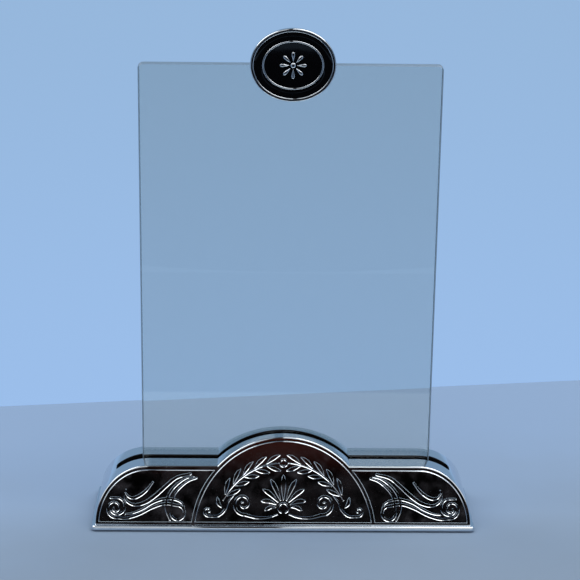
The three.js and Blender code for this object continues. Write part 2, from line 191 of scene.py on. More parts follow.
class Skin:
    """Faces of one piece, gathered in millimetres and then made into a mesh object."""

    def __init__(self) -> None:
        """Starts with nothing."""
        self.points: list[np.ndarray] = []
        self.faces: list[tuple[int, ...]] = []
        self.flat: list[bool] = []
        self.finish: list[int] = []
        self.count = 0

    def add(self, points: np.ndarray) -> np.ndarray:
        """Takes in points of space.

        Args:
            points: one (x, y, z) row each.

        Returns:
            The points' numbers.
        """
        numbers = np.arange(self.count, self.count + len(points))
        self.points.append(np.asarray(points, float))
        self.count += len(points)
        return numbers

    def face(self, corners: Sequence[int], flat: bool = False, finish: int = 0) -> None:
        """Adds one face.

        Args:
            corners: numbers of its points.
            flat: whether it keeps its own normal, so that it mirrors as a plane does.
            finish: number of the material.
        """
        self.faces.append(tuple(int(corner) for corner in corners))
        self.flat.append(flat)
        self.finish.append(finish)

    def strip(self, first: np.ndarray, second: np.ndarray, closed: bool = True, finish: int = 0) -> None:
        """Joins two rows of points by a row of four-cornered faces.

        Args:
            first: numbers of one row.
            second: numbers of the other row, as many.
            closed: whether the rows run round and meet themselves.
            finish: number of the material.
        """
        for i in range(len(first) if closed else len(first) - 1):
            j = (i + 1) % len(first)
            self.face((first[i], first[j], second[j], second[i]), finish=finish)

    def loft(self, rings: Sequence[np.ndarray], capped: bool = True, finish: int = 0) -> list[np.ndarray]:
        """Joins closed rings one after another, and closes the two ends if asked.

        Args:
            rings: points of each ring, as many in each.
            capped: whether the first and last rings get a flat face of the first material.
            finish: number of the material between the rings.

        Returns:
            The rings' point numbers.
        """
        rows = [self.add(ring) for ring in rings]
        for first, second in zip(rows, rows[1:]):
            self.strip(first, second, finish=finish)
        if capped:
            self.face(rows[0][::-1], flat=True)
            self.face(rows[-1], flat=True)
        return rows

    def cover(self, points: np.ndarray, triangles: Sequence[Sequence[int]], heights: np.ndarray) -> None:
        """Adds a triangulated face whose level stretches stay mirror flat.

        Args:
            points: points in space.
            triangles: three point numbers each.
            heights: each point's height over the face.
        """
        numbers = self.add(points)
        for triangle in triangles:
            level = np.ptp(heights[list(triangle)]) < LEVEL
            self.face(numbers[list(triangle)], flat=bool(level))

    def build(
        self, name: str, materials: Sequence[bpy.types.Material], crease: float = 40.0
    ) -> bpy.types.Object:
        """Makes the mesh object.

        Args:
            name: the piece's name.
            materials: its materials, in the order of their numbers.
            crease: edges that bend more than this many degrees stay sharp.

        Returns:
            The object, at its place in the scene.
        """
        made = bmesh.new()
        corners = [made.verts.new(point * MM) for point in np.vstack(self.points)]
        level = made.faces.layers.int.new("level")
        for numbers, flat, finish in zip(self.faces, self.flat, self.finish):
            face = made.faces.new([corners[i] for i in numbers])
            face[level] = int(flat)
            face.material_index = finish
            face.smooth = True
        bmesh.ops.remove_doubles(made, verts=made.verts, dist=WELD)
        bmesh.ops.dissolve_degenerate(made, edges=made.edges, dist=SLIVER)
        bmesh.ops.delete(made, geom=[v for v in made.verts if not v.link_faces], context="VERTS")
        rim = [edge for edge in made.edges if edge.is_boundary]
        if rim:
            bmesh.ops.triangle_fill(made, use_beauty=True, edges=rim)
        bmesh.ops.recalc_face_normals(made, faces=made.faces)
        for edge in made.edges:
            if len(edge.link_faces) == 2:
                first, second = edge.link_faces
                gentle = edge.calc_face_angle() < math.radians(crease)
                edge.smooth = gentle and first[level] == second[level]
        made.faces.layers.int.remove(level)
        mesh = bpy.data.meshes.new(name)
        made.to_mesh(mesh)
        made.free()
        for material in materials:
            mesh.materials.append(material)
        piece = bpy.data.objects.new(name, mesh)
        bpy.context.scene.collection.objects.link(piece)
        return piece


def fit(piece: bpy.types.Object, body: Body, slot: Slot, *nodes: str) -> None:
    """Puts a piece on its body in the place of the CAD nodes that it stands for.

    Args:
        piece: the new piece.
        body: what it moves with.
        slot: the record's material slot; not used.
        nodes: nodes that it replaces.
    """
    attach(piece, body.value)
    if nodes:
        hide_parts(*nodes)
    LOG.info("%s: %d faces on %s", piece.name, len(piece.data.polygons), body.value)


def box_mm(node: str) -> tuple[np.ndarray, np.ndarray]:
    """Lowest and highest corner of a CAD node in millimetres."""
    low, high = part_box(node)
    return np.array(low) / MM, np.array(high) / MM


# Engraving


@dataclass(frozen=True)
class Stroke:
    """An engraved channel: its middle line, and its width at the start, the belly and the end."""

    line: Line
    widths: tuple[float, float, float]
    belly: float = 0.5
    end_points: int = 7
    steepest_taper: float = 0.9

    def half_widths(self) -> np.ndarray:
        """Spreads the three widths along the line.

        Returns:
            Half of the channel's width at each point of the line.
        """
        along = lengths(self.line)
        share = along / along[-1]
        start, belly, end = self.widths
        tail = np.where(share < self.belly, start, end)
        rise = np.where(share < self.belly, share / self.belly, (1 - share) / (1 - self.belly))
        return (tail + (belly - tail) * np.sin(np.pi / 2 * rise)) / 2

    def rim(self, inset: float) -> Line:
        """A closed line round the channel.

        Args:
            inset: how far inside the channel's edge; where it is narrower, the middle line is used.

        Returns:
            The line, with round ends.
        """
        way = np.gradient(self.line, axis=0)
        bearing = np.arctan2(way[:, 1], way[:, 0])
        half = self.half_widths()
        out = np.maximum(half - inset, 0)
        taper = np.gradient(half, lengths(self.line))
        side = np.arccos(-np.clip(taper, -self.steepest_taper, self.steepest_taper))
        turns = [(i, side[i]) for i in range(len(out))]
        turns += [(-1, turn) for turn in np.linspace(side[-1], -side[-1], self.end_points)[1:-1]]
        turns += [(i, -side[i]) for i in reversed(range(len(out)))]
        turns += [(0, turn) for turn in np.linspace(-side[0], side[0] - 2 * np.pi, self.end_points)[1:-1]]
        spots = []
        for i, turn in turns:
            angle = bearing[i] + turn
            spots.append(self.line[i] + out[i] * np.array([math.cos(angle), math.sin(angle)]))
        return np.array(spots)

    def inside(self, points: Line) -> np.ndarray:
        """Measures how far points lie inside the channel.

        Args:
            points: points of the plane.

        Returns:
            Each point's distance from the channel's edge; outside it is negative.
        """
        half = self.half_widths()
        best = np.full(len(points), -np.inf)
        for a, b, wide_a, wide_b in zip(self.line, self.line[1:], half, half[1:]):
            way = b - a
            share = np.clip((points - a) @ way / (way @ way), 0, 1)
            away = np.linalg.norm(points - a - share[:, None] * way, axis=1)
            best = np.maximum(best, wide_a + share * (wide_b - wide_a) - away)
        return best

    def flipped(self) -> "Stroke":
        """The stroke on the other side of the middle."""
        return Stroke(mirrored(self.line), self.widths, self.belly)


class Relief:
    """A face cut along its lines, where each point has a height over the face."""

    SNAP = 0.06  # share of a channel's depth within which a point counts as on its rim or its floor

    def __init__(self, wall: float, depth: float, ground: float) -> None:
        """Starts an empty face.

        Args:
            wall: how wide a channel's sloping side is.
            depth: how deep a channel is.
            ground: height of the face that the channels are cut into.
        """
        self.wall = wall
        self.depth = depth
        self.ground = ground
        self.points: list[Vector] = []
        self.heights: list[float] = []
        self.edges: list[tuple[int, int]] = []
        self.strokes: list[Stroke] = []

    def draw(self, line: Line, height: float, closed: bool) -> None:
        """Cuts the face along a line whose points all have one height.

        Args:
            line: where it is cut.
            height: the line's height over the face.
            closed: whether the line's end meets its start.
        """
        first = len(self.points)
        self.points += [Vector(point) for point in line]
        self.heights += [height] * len(line)
        self.edges += [(i, i + 1) for i in range(first, first + len(line) - 1)]
        if closed:
            self.edges.append((first + len(line) - 1, first))

    def engrave(self, stroke: Stroke) -> None:
        """Cuts a channel.

        Args:
            stroke: the channel.
        """
        self.strokes.append(stroke)
        for inset in (0, self.wall):
            self.draw(stroke.rim(inset), self.ground, closed=True)

    def cut(self) -> tuple[Line, np.ndarray, list[list[int]]]:
        """Triangulates the face.

        Returns:
            Its points in the plane, their heights, and its triangles.
        """
        found, _, triangles, origins, _, _ = delaunay_2d_cdt(self.points, self.edges, [], 1, CUT)
        points = np.array([tuple(point) for point in found])
        heights = np.array([self.heights[o[0]] if o else self.ground for o in origins])
        sunk = np.zeros(len(points))
        for stroke in self.strokes:
            sunk = np.maximum(sunk, np.clip(stroke.inside(points) / self.wall, 0, 1))
        sunk[sunk < self.SNAP] = 0
        sunk[sunk > 1 - self.SNAP] = 1
        return points, heights - self.depth * sunk, triangles


# Finishes


# A node's inputs by name or number, or in their order: each a value, or the output that feeds it
Sockets = dict[str | int, object] | Sequence[object]


def linear(colour: str) -> tuple[float, float, float, float]:
    """Turns an sRGB hex colour into a linear one.

    Args:
        colour: a hash sign and six hex digits.

    Returns:
        Linear red, green and blue, and alpha.
    """
    parts = [int(colour[i : i + 2], 16) / 255 for i in (1, 3, 5)]
    bright = [p / 12.92 if p <= 0.04045 else ((p + 0.055) / 1.055) ** 2.4 for p in parts]
    return (*bright, 1.0)


def per_metre(size: float) -> float:
    """Scale of a pattern whose features are this many millimetres across."""
    return 1 / (size * MM)


def add_node(
    tree: bpy.types.NodeTree, kind: str, inputs: Sockets = (), **settings: object
) -> bpy.types.Node:
    """Adds a shader node.

    Args:
        tree: the node tree.
        kind: the node's type.
        inputs: its inputs.
        settings: its properties by name.

    Returns:
        The node.
    """
    node = tree.nodes.new(kind)
    for name, value in settings.items():
        setattr(node, name, value)
    for name, value in inputs.items() if isinstance(inputs, dict) else enumerate(inputs):
        if isinstance(value, bpy.types.NodeSocket):
            tree.links.new(value, node.inputs[name])
        else:
            node.inputs[name].default_value = value
    return node


@dataclass(frozen=True)
class Pattern:
    """An irregular pattern with features of one size, which may be longer along X, Y or Z."""

    size: float
    detail: float = 2.0
    curl: float = 0.0
    longer: tuple[float, float, float] = (1.0, 1.0, 1.0)


@dataclass(frozen=True)
class Finish:
    """A surface with a relief and with wear, each drawn by patterns that are multiplied.

    One colour or roughness is the same all over; of two, the second shows where the wear is most.
    """

    name: str
    colours: tuple[str, ...]
    roughness: tuple[float, ...]
    span: tuple[float, float] = (0.0, 1.0)  # values of the wear between which the roughness changes
    relief: tuple[Pattern, ...] = ()
    relief_height: float = 0.0
    wear: tuple[Pattern, ...] = ()  # without any, the relief is the wear too
    metallic: float = 0.0
    ior: float = 1.5
    clearness: float = 0.0
    gloss: float = 0.5
    bloom: float = 0.0

    def draw(
        self, tree: bpy.types.NodeTree, place: bpy.types.NodeSocket, patterns: Sequence[Pattern]
    ) -> bpy.types.NodeSocket | float:
        """Draws patterns and multiplies them.

        Args:
            tree: the material's nodes.
            place: the object's own coordinates.
            patterns: the patterns.

        Returns:
            Their product, which is one without patterns.
        """
        product = 1.0
        for pattern in patterns:
            scale = tuple(per_metre(pattern.size * longer) for longer in pattern.longer)
            spot = add_node(tree, "ShaderNodeMapping", {"Vector": place, "Scale": scale}).outputs[0]
            inputs = {"Vector": spot, "Scale": 1.0, "Detail": pattern.detail, "Distortion": pattern.curl}
            drawn = add_node(tree, "ShaderNodeTexNoise", inputs).outputs[0]
            product = add_node(tree, "ShaderNodeMath", (product, drawn), operation="MULTIPLY").outputs[0]
        return product

    def share(
        self, tree: bpy.types.NodeTree, place: bpy.types.NodeSocket, wear: bpy.types.NodeSocket
    ) -> bpy.types.NodeSocket:
        """How much of the second colour shows: as much as there is wear, if a finish says nothing else."""
        return wear

    def make(self) -> bpy.types.Material:
        """Builds the material.

        Returns:
            The material.
        """
        material = bpy.data.materials.new(self.name)
        material.use_nodes = True
        tree = material.node_tree
        tree.nodes.clear()
        place = add_node(tree, "ShaderNodeTexCoord").outputs["Object"]
        inputs = {
            "Metallic": self.metallic,
            "IOR": self.ior,
            "Transmission Weight": self.clearness,
            "Specular IOR Level": self.gloss,
            "Sheen Weight": self.bloom,
        }
        relief = self.draw(tree, place, self.relief)
        if self.relief:
            heights = {"Height": relief, "Distance": self.relief_height * MM}
            inputs["Normal"] = add_node(tree, "ShaderNodeBump", heights).outputs[0]
        wear = self.draw(tree, place, self.wear) if self.wear else relief
        inputs["Base Color"] = linear(self.colours[0])
        if len(self.colours) > 1:
            blend = {0: self.share(tree, place, wear)}
            blend.update({6: linear(self.colours[0]), 7: linear(self.colours[1])})
            inputs["Base Color"] = add_node(tree, "ShaderNodeMix", blend, data_type="RGBA").outputs[2]
        inputs["Roughness"] = self.roughness[0]
        if len(self.roughness) > 1:
            ends = (wear, *self.span, *self.roughness)
            inputs["Roughness"] = add_node(tree, "ShaderNodeMapRange", ends).outputs[0]
        shader = add_node(tree, "ShaderNodeBsdfPrincipled", inputs)
        add_node(tree, "ShaderNodeOutputMaterial", {"Surface": shader.outputs[0]})
        return material


@dataclass(frozen=True)
class ChromePlate(Finish):
    """Decorative chrome over a polished zinc die-casting.

    The plating is a mirror with a slightly blue cast. Polishing leaves a gentle unevenness,
    and handling leaves a thin film and fine specks that only show against dark reflections.
    """

    name: str = "chrome_plated_zinc"
    colours: tuple[str, ...] = ("#dfe3e8", "#c3c8cf")
    roughness: tuple[float, ...] = (0.015, 0.12)
    span: tuple[float, float] = (0.2, 0.5)
    relief: tuple[Pattern, ...] = (Pattern(7.0, detail=1.0),)
    relief_height: float = 0.003
    # The film, and specks drawn coarser than real dust, which wouldn't show
    wear: tuple[Pattern, ...] = (Pattern(16.0), Pattern(0.5))
    metallic: float = 1.0


@dataclass(frozen=True)
class FloatGlass(Finish):
    """Float glass, fire-polished on both faces.

    It is clear with a cool cast, and faint smears on it show as a slight change of gloss.
    """

    name: str = "float_glass"
    colours: tuple[str, ...] = ("#f3f4f2",)
    roughness: tuple[float, ...] = (0.0, 0.012)
    span: tuple[float, float] = (0.5, 0.75)
    wear: tuple[Pattern, ...] = (Pattern(35.0, detail=3.0),)
    ior: float = 1.52
    clearness: float = 1.0


@dataclass(frozen=True)
class GroundGlass(Finish):
    """Edge of a pane, ground by a wheel and left satin.

    It scatters the light inside the pane and looks darker and greyer than the faces.
    """

    name: str = "ground_glass_edge"
    colours: tuple[str, ...] = ("#8fa3b0",)
    roughness: tuple[float, ...] = (0.35,)
    relief: tuple[Pattern, ...] = (Pattern(0.25),)  # drawn coarser than the wheel's grit
    relief_height: float = 0.01
    ior: float = 1.52
    clearness: float = 0.6


@dataclass(frozen=True)
class VitreousEnamel(Finish):
    """Black vitreous enamel, fired and flat-polished.

    It is a deep black with a glassy top that is never quite level.
    """

    name: str = "black_vitreous_enamel"
    colours: tuple[str, ...] = ("#050506", "#0c0c0f")
    roughness: tuple[float, ...] = (0.05,)
    relief: tuple[Pattern, ...] = (Pattern(3.0),)
    relief_height: float = 0.004
    ior: float = 1.52


@dataclass(frozen=True)
class PressedFelt(Finish):
    """Black wool felt, pressed into a sheet and die-cut.

    Its fibres lie every way in small tufts, so it looks dull, with a soft pale bloom at a slant.
    """

    name: str = "black_pressed_felt"
    colours: tuple[str, ...] = ("#060607", "#161618")
    roughness: tuple[float, ...] = (0.95,)
    # The fibres, drawn coarser than wool, which wouldn't show, and the tufts
    relief: tuple[Pattern, ...] = (Pattern(0.35, detail=6.0, curl=1.5), Pattern(2.5))
    relief_height: float = 0.12
    gloss: float = 0.1
    bloom: float = 0.03


@dataclass(frozen=True)
class MouldedRubber(Finish):
    """Black rubber strip, extruded and dusted with talc.

    It is matt, with a fine grain and a little grey bloom.
    """

    name: str = "black_rubber_strip"
    colours: tuple[str, ...] = ("#101011", "#1f1f20")
    roughness: tuple[float, ...] = (0.8,)
    relief: tuple[Pattern, ...] = (Pattern(0.6, detail=4.0),)
    relief_height: float = 0.03


@dataclass(frozen=True)
class RolledSteel(Finish):
    """Spring steel strip, cold-rolled.

    Rolling draws fine lines along the strip that stretch the highlights across them.
    """

    name: str = "rolled_spring_steel"
    colours: tuple[str, ...] = ("#b9bbbd", "#94979a")
    roughness: tuple[float, ...] = (0.2, 0.34)
    span: tuple[float, float] = (0.3, 0.7)
    # The lines, drawn coarser than a roll leaves them
    relief: tuple[Pattern, ...] = (Pattern(0.15, detail=5.0, longer=(1.0, 40.0, 40.0)),)
    relief_height: float = 0.004
    metallic: float = 1.0


@dataclass(frozen=True)
class ZincPlate(Finish):
    """Zinc plating over steel, which leaves it pale and cloudy, with a grain all ways."""

    name: str = "zinc_plated_steel"
    colours: tuple[str, ...] = ("#c4c7c9", "#a3a8aa")
    roughness: tuple[float, ...] = (0.28, 0.42)
    span: tuple[float, float] = (0.3, 0.7)
    relief: tuple[Pattern, ...] = (Pattern(0.8, detail=5.0),)
    relief_height: float = 0.004
    metallic: float = 1.0


@dataclass(frozen=True)
class TableLaminate(Finish):
    """Pale matt table top under the object, bluer towards the back; it isn't part of the object."""

    name: str = "pale_table"
    colours: tuple[str, ...] = ("#8998a9", "#8fa4bf")
    roughness: tuple[float, ...] = (1.0,)
    wear: tuple[Pattern, ...] = (Pattern(60.0, detail=3.0),)
    gloss: float = 0.0
    waver: float = 100.0  # how far the pattern shifts the change of colour
    change: tuple[float, float] = (-50.0, 150.0)  # depths between which the colour changes

    def share(
        self, tree: bpy.types.NodeTree, place: bpy.types.NodeSocket, wear: bpy.types.NodeSocket
    ) -> bpy.types.NodeSocket:
        """Draws the uneven change of colour from the front to the back.

        Args:
            tree: the material's nodes.
            place: the object's own coordinates.
            wear: the pattern that makes it uneven.

        Returns:
            How much of the second colour shows.
        """
        depth = add_node(tree, "ShaderNodeSeparateXYZ", (place,)).outputs["Y"]
        terms = (wear, self.waver * MM, depth)
        uneven = add_node(tree, "ShaderNodeMath", terms, operation="MULTIPLY_ADD").outputs[0]
        ends = (uneven, self.change[0] * MM, self.change[1] * MM)
        return add_node(tree, "ShaderNodeMapRange", ends, interpolation_type="SMOOTHSTEP").outputs[0]


@dataclass(frozen=True)
class MattCard(Finish):
    """Card with an even matt coat, which mirrors nothing itself; it isn't part of the object."""

    roughness: tuple[float, ...] = (1.0,)
    gloss: float = 0.0


@dataclass(frozen=True)
class Finishes:
    """All the materials of the object."""

    chrome: bpy.types.Material
    glass: bpy.types.Material
    ground_glass: bpy.types.Material
    enamel: bpy.types.Material
    felt: bpy.types.Material
    rubber: bpy.types.Material
    spring: bpy.types.Material
    zinc: bpy.types.Material

    @classmethod
    def make(cls) -> "Finishes":
        """Builds each material once.

        Returns:
            The materials.
        """
        return cls(
            chrome=ChromePlate().make(),
            glass=FloatGlass().make(),
            ground_glass=GroundGlass().make(),
            enamel=VitreousEnamel().make(),
            felt=PressedFelt().make(),
            rubber=MouldedRubber().make(),
            spring=RolledSteel().make(),
            zinc=ZincPlate().make(),
        )


# Base


def wing_scrolls() -> list[Stroke]:
    """Draws the flourish of the right wing.

    Returns:
        Its channels, in distance from the middle and height above the foot.
    """
    upper = through(
        [(40.8, 21), (46.7, 19.5), (51.1, 16.3), (55.6, 12.4), (60, 9.4), (64.4, 8.1), (67.6, 8.9)]
        + [(69.2, 10.7), (69.5, 12.6), (68.8, 14.6)]
    )
    barb = through([(57.2, 17.6), (60.5, 13.7), (64.6, 11.2), (67.4, 11.3), (69, 12.9)])
    fall = through([(38.1, 19.3), (41.9, 17.9), (46.1, 14.5), (48.4, 10.8), (49.2, 4.8)])
    loop = whorl((46.35, 4.9), (2.85, 3.0), -2, -268)
    rise = through([(46.4, 7.9), (52, 8.6), (57.8, 6.8), (63.1, 4.2), (68.6, 2.6), (72.64, 2.74)])
    volute = whorl((73.7, 6.7), (4.1, 0.7), -105, 480, power=0.85)
    tail = np.vstack([(75.6, 11), whorl((72.8, 7.5), (3.5, 3.35), 84, 241)])
    lower = through(
        [(43, 5.4), (44.6, 9), (48.5, 10.6), (52.5, 10.6), (57.3, 9), (61.5, 6.5), (65.7, 4.8), (69, 4.3)]
    )
    inner = through(
        [(39.2, 19.9), (43, 19), (47.2, 16.2), (50, 12.8), (51.3, 9.2), (51.2, 5.8), (49.6, 1.8)]
    )
    return [
        Stroke(upper, (1.1, 1.7, 0.3), belly=0.5),
        Stroke(barb, (0.8, 1.4, 0.7), belly=0.6),
        Stroke(np.vstack([fall, loop[1:-1], rise, volute[1:]]), (0.8, 1.2, 0.7), belly=0.5),
        Stroke(lower, (0.6, 1.2, 0.6)),
        Stroke(inner, (0.4, 1.2, 0.6)),
        Stroke(tail, (0.9, 1.0, 0.6)),
    ]


@dataclass
class CastBase:
    """The hollow chrome casting: arched outline, leaning faces, slot and two raised wing panels."""

    finishes: Finishes
    foot: float
    half_length: float
    arch_height: float
    shoulder_height: float = 24.1
    arch_radius: float = 40.7
    end_run: float = 23.0
    top_half_depth: float = 7.15
    lean: float = 18.8
    edge_radius: float = 0.45
    fold: float = 0.08  # how tightly the arch turns into a shoulder
    wall: float = 2.2
    slot_half: float = 2.85
    slot_half_length: float = 74.1
    slot_floor: float = 9.4
    slot_corner: float = 1.2
    trough_wall: float = 1.8
    trough_floor: float = 2.0
    border: float = 1.5
    groove: float = 1.2
    foot_border: float = 0.9
    panel_rise: float = 0.6
    medallion_sink: float = 1.0
    medallion_clearance: float = 0.15
    medallion_back_gap: float = 0.1
    recess_slope: float = 0.05
    channel_wall: float = 0.15
    channel_depth: float = 0.16
    panel_edge: Profile = ((0, 0), (0.03, 0.5), (0.08, 0.8), (0.16, 0.95), (0.25, 1))
    lining_corner: float = 0.3
    lining_soft: float = 0.12
    corner_steps: int = 4
    end_steps: int = 14
    arch_steps: int = 30
    groove_step: float = 1.2
    shoulder_steps: int = 6
    round_steps: int = 5

    @classmethod
    def from_frame(cls, finishes: Finishes) -> "CastBase":
        """Takes the casting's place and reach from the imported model."""
        low, high = box_mm("base_casting")
        return cls(finishes, foot=low[2], half_length=high[0], arch_height=high[2] - low[2])

    @property
    def arch_centre(self) -> float:
        """Height of the arch's centre above the foot."""
        return self.arch_height - self.arch_radius

    @property
    def medallion_radius(self) -> float:
        """Radius of the half-round plate in the middle."""
        return self.arch_radius - self.border

    def half_depth(self, height: np.ndarray | float) -> np.ndarray | float:
        """Half of the casting's depth at a height above the foot."""
        return self.top_half_depth + (self.arch_height - height) * math.tan(math.radians(self.lean))

    def end_angles(self, inset: float, slot_end: float, corner: float) -> np.ndarray:
        """Angles round a rounded end, with some at the end of the slot.

        Args:
            inset: how far the outline is moved in.
            slot_end: half of the slot's length.
            corner: radius of the slot's corners in plan.

        Returns:
            Angles from the shoulder down to the foot.
        """
        run = self.end_run - inset
        centre = self.half_length - self.end_run
        turn = np.radians(np.linspace(0, 90, self.corner_steps + 1))
        near = np.arccos((slot_end - corner + corner * np.sin(turn) - centre) / run)
        before = np.linspace(np.pi / 2, near[0], self.end_steps)[:-1]
        return np.concatenate([before, near, np.linspace(near[-1], 0, self.end_steps)[1:]])

    def outline(self, inset: float, angles: np.ndarray) -> Line:
        """The arched outline from the left foot to the right foot.

        Args:
            inset: how far it is moved in.
            angles: angles round the right end, from the shoulder down.

        Returns:
            The line, with as many points for every inset.
        """
        run = self.end_run - inset
        rise = self.shoulder_height - inset
        radius = self.arch_radius - inset
        spring = math.asin((rise - self.arch_centre) / radius)
        arch = np.linspace(np.pi / 2, spring, self.arch_steps + 1)
        arch = np.insert(arch, -1, spring + self.fold / radius)
        centre = self.half_length - self.end_run
        corner = radius * math.cos(spring)
        flat = np.linspace(corner, centre, self.shoulder_steps + 1)[1:-1]
        flat = np.insert(flat, 0, corner + self.fold)
        half = np.vstack([
            np.column_stack([radius * np.cos(arch), self.arch_centre + radius * np.sin(arch)]),
            np.column_stack([flat, np.full(len(flat), rise)]),
            np.column_stack([centre + run * np.cos(angles), rise * np.sin(angles)]),
        ])
        return np.vstack([mirrored(half[:0:-1]), half])

    def segment(self, radius: float, level: float, steps: int = 60) -> Line:
        """Draws the part of a disc about the arch's centre that stands above a level.

        Args:
            radius: the disc's radius.
            level: height of its lower edge above the foot.
            steps: how many steps the arc takes.

        Returns:
            The arc, as a closed line.
        """
        start = math.degrees(math.asin((level - self.arch_centre) / radius))
        sweep = 180 - 2 * start
        step = math.radians(sweep) * radius / steps
        return whorl((0, self.arch_centre), (radius, radius), start, sweep, step=step)

    def wing(self, inset: float) -> Line:
        """Draws the outline of the right wing panel.

        Args:
            inset: how far it is moved in.

        Returns:
            The outline, as a closed line.
        """
        run = self.end_run - self.border - inset
        rise = self.shoulder_height - self.border - inset
        radius = self.medallion_radius + self.groove + inset
        level = self.foot_border + inset
        low = math.degrees(math.asin((level - self.arch_centre) / radius))
        high = math.degrees(math.asin((rise - self.arch_centre) / radius))
        angles = np.linspace(math.asin(level / rise), np.pi / 2, 2 * self.end_steps)
        middle = self.half_length - self.end_run
        end = np.column_stack([middle + run * np.cos(angles), rise * np.sin(angles)])
        groove = whorl((0, self.arch_centre), (radius, radius), high, low - high, step=self.groove_step)
        return np.vstack([end, groove])

    def on_front(self, points: Line, heights: np.ndarray) -> np.ndarray:
        """Lays plane points on the leaning front face, at their heights over it."""
        depth = self.half_depth(points[:, 1]) + heights
        return np.column_stack([points[:, 0], -depth, self.foot + points[:, 1]])

    def roof(self, skin: Skin, line: Line, edges: np.ndarray, half: float, end: float, floor: float) -> None:
        """Covers the space between the front and rear edges and sinks a slot into it.

        Args:
            skin: takes the faces.
            line: outline of the surface.
            edges: half of its depth at each point.
            half: half of the slot's width.
            end: half of the slot's length.
            floor: height of the slot's floor above the foot.
        """
        corner = self.slot_corner
        past = np.clip(np.abs(line[:, 0]) - end + corner, 0, corner)
        width = half - corner + np.sqrt(np.maximum(corner**2 - past**2, 0))
        rows = []
        for depth, height in (
            (-edges, line[:, 1]),
            (-width, line[:, 1]),
            (-width, np.full(len(line), floor)),
            (width, np.full(len(line), floor)),
            (width, line[:, 1]),
            (edges, line[:, 1]),
        ):
            rows.append(skin.add(np.column_stack([line[:, 0], depth, self.foot + height])))
        open_ = np.abs(line[:, 0]) <= end + TOUCH
        for i in range(len(line) - 1):
            pairs = [(0, 1), (4, 5)]
            pairs += [(1, 2), (2, 3), (3, 4)] if open_[i] and open_[i + 1] else [(1, 4)]
            for a, b in pairs:
                skin.face((rows[a][i], rows[a][i + 1], rows[b][i + 1], rows[b][i]))
            if open_[i] != open_[i + 1]:
                stop = i if open_[i] else i + 1
                skin.face([rows[row][stop] for row in (1, 2, 3, 4)])

    def shell(self) -> None:
        """Builds the casting with its engraved wing panels."""
        skin = Skin()
        angles = self.end_angles(0, self.slot_half_length, self.slot_corner)
        top = self.outline(0, angles)
        edges = self.half_depth(top[:, 1]) - self.edge_radius
        self.roof(skin, top, edges, self.slot_half, self.slot_half_length, self.slot_floor)
        turn = np.radians(np.linspace(90, 0, self.round_steps + 1))
        for side in (-1, 1):
            rings = []
            for angle in turn:
                ring = self.outline(self.edge_radius * (1 - math.sin(angle)), angles)
                depth = self.half_depth(ring[:, 1]) - self.edge_radius * (1 - math.cos(angle))
                rings.append(skin.add(np.column_stack([ring[:, 0], side * depth, self.foot + ring[:, 1]])))
            for first, second in zip(rings, rings[1:]):
                skin.strip(first, second, closed=False)
        face = self.outline(self.edge_radius, angles)
        front = Relief(self.channel_wall, self.channel_depth, self.panel_rise)
        front.draw(face, 0, closed=True)
        gap = self.medallion_clearance
        for spread, height in ((gap + self.recess_slope, 0), (gap, -self.medallion_sink)):
            recess = self.segment(self.medallion_radius + spread, self.foot_border - spread)
            front.draw(recess, height, closed=True)
        for inset, share in self.panel_edge:
            for line in (self.wing(inset), mirrored(self.wing(inset))):
                front.draw(line, share * self.panel_rise, closed=True)
        for stroke in wing_scrolls():
            front.engrave(stroke)
            front.engrave(stroke.flipped())
        points, heights, triangles = front.cut()
        skin.cover(self.on_front(points, heights), triangles, heights)
        rear = Relief(self.channel_wall, 0, 0)
        rear.draw(face, 0, closed=True)
        points, heights, triangles = rear.cut()
        skin.cover(self.on_front(points, heights) * (1, -1, 1), triangles, heights)
        self.hollow(skin)
        fit(skin.build("cast_base", [self.finishes.chrome]), Body.BASE, Slot.CHROME, "base_casting")

    def hollow(self, skin: Skin) -> None:
        """Adds the inside: walls, roof and the outside of the slot's trough.

        Args:
            skin: takes the faces.
        """
        end = self.slot_half_length + self.trough_wall
        half = self.slot_half + self.trough_wall
        angles = self.end_angles(self.wall, end, self.slot_corner)
        line = self.outline(self.wall, angles)
        thick = self.wall / math.cos(math.radians(self.lean))
        edges = self.half_depth(line[:, 1]) - thick
        self.roof(skin, line, edges, half, end, self.slot_floor - self.trough_floor)
        inside = Relief(self.channel_wall, 0, 0)
        inside.draw(line, -thick, closed=True)
        points, heights, triangles = inside.cut()
        for side in (-1, 1):
            skin.cover(self.on_front(points, heights) * (1, -side, 1), triangles, heights)

    def lining(self, side: int, name: str, node: str) -> None:
        """Builds the felt strip on one wall of the slot.

        Args:
            side: -1 for the front wall, 1 for the rear one.
            name: the piece's name.
            node: the node that it stands for.
        """
        low, high = box_mm(node)
        recess = self.foot + self.arch_height - high[2]
        line = self.outline(recess, self.end_angles(recess, high[0], self.lining_corner))
        line = line[np.abs(line[:, 0]) <= high[0] + TOUCH]
        floor = np.full(len(line), low[2])
        ceiling = self.foot + line[:, 1]
        near, far = (low[1], high[1]) if side > 0 else (high[1], low[1])
        rows = []
        skin = Skin()
        for depth, height in (
            (far, floor),
            (near, floor),
            (near, ceiling - self.lining_soft),
            (near + side * self.lining_soft, ceiling),
            (far, ceiling),
        ):
            rows.append(skin.add(np.column_stack([line[:, 0], np.full(len(line), depth), height])))
        for first, second in zip(rows, rows[1:] + rows[:1]):
            skin.strip(first, second, closed=False)
        for end in (0, -1):
            skin.face([row[end] for row in rows])
        fit(skin.build(name, [self.finishes.felt]), Body.BASE, Slot.FELT, node)


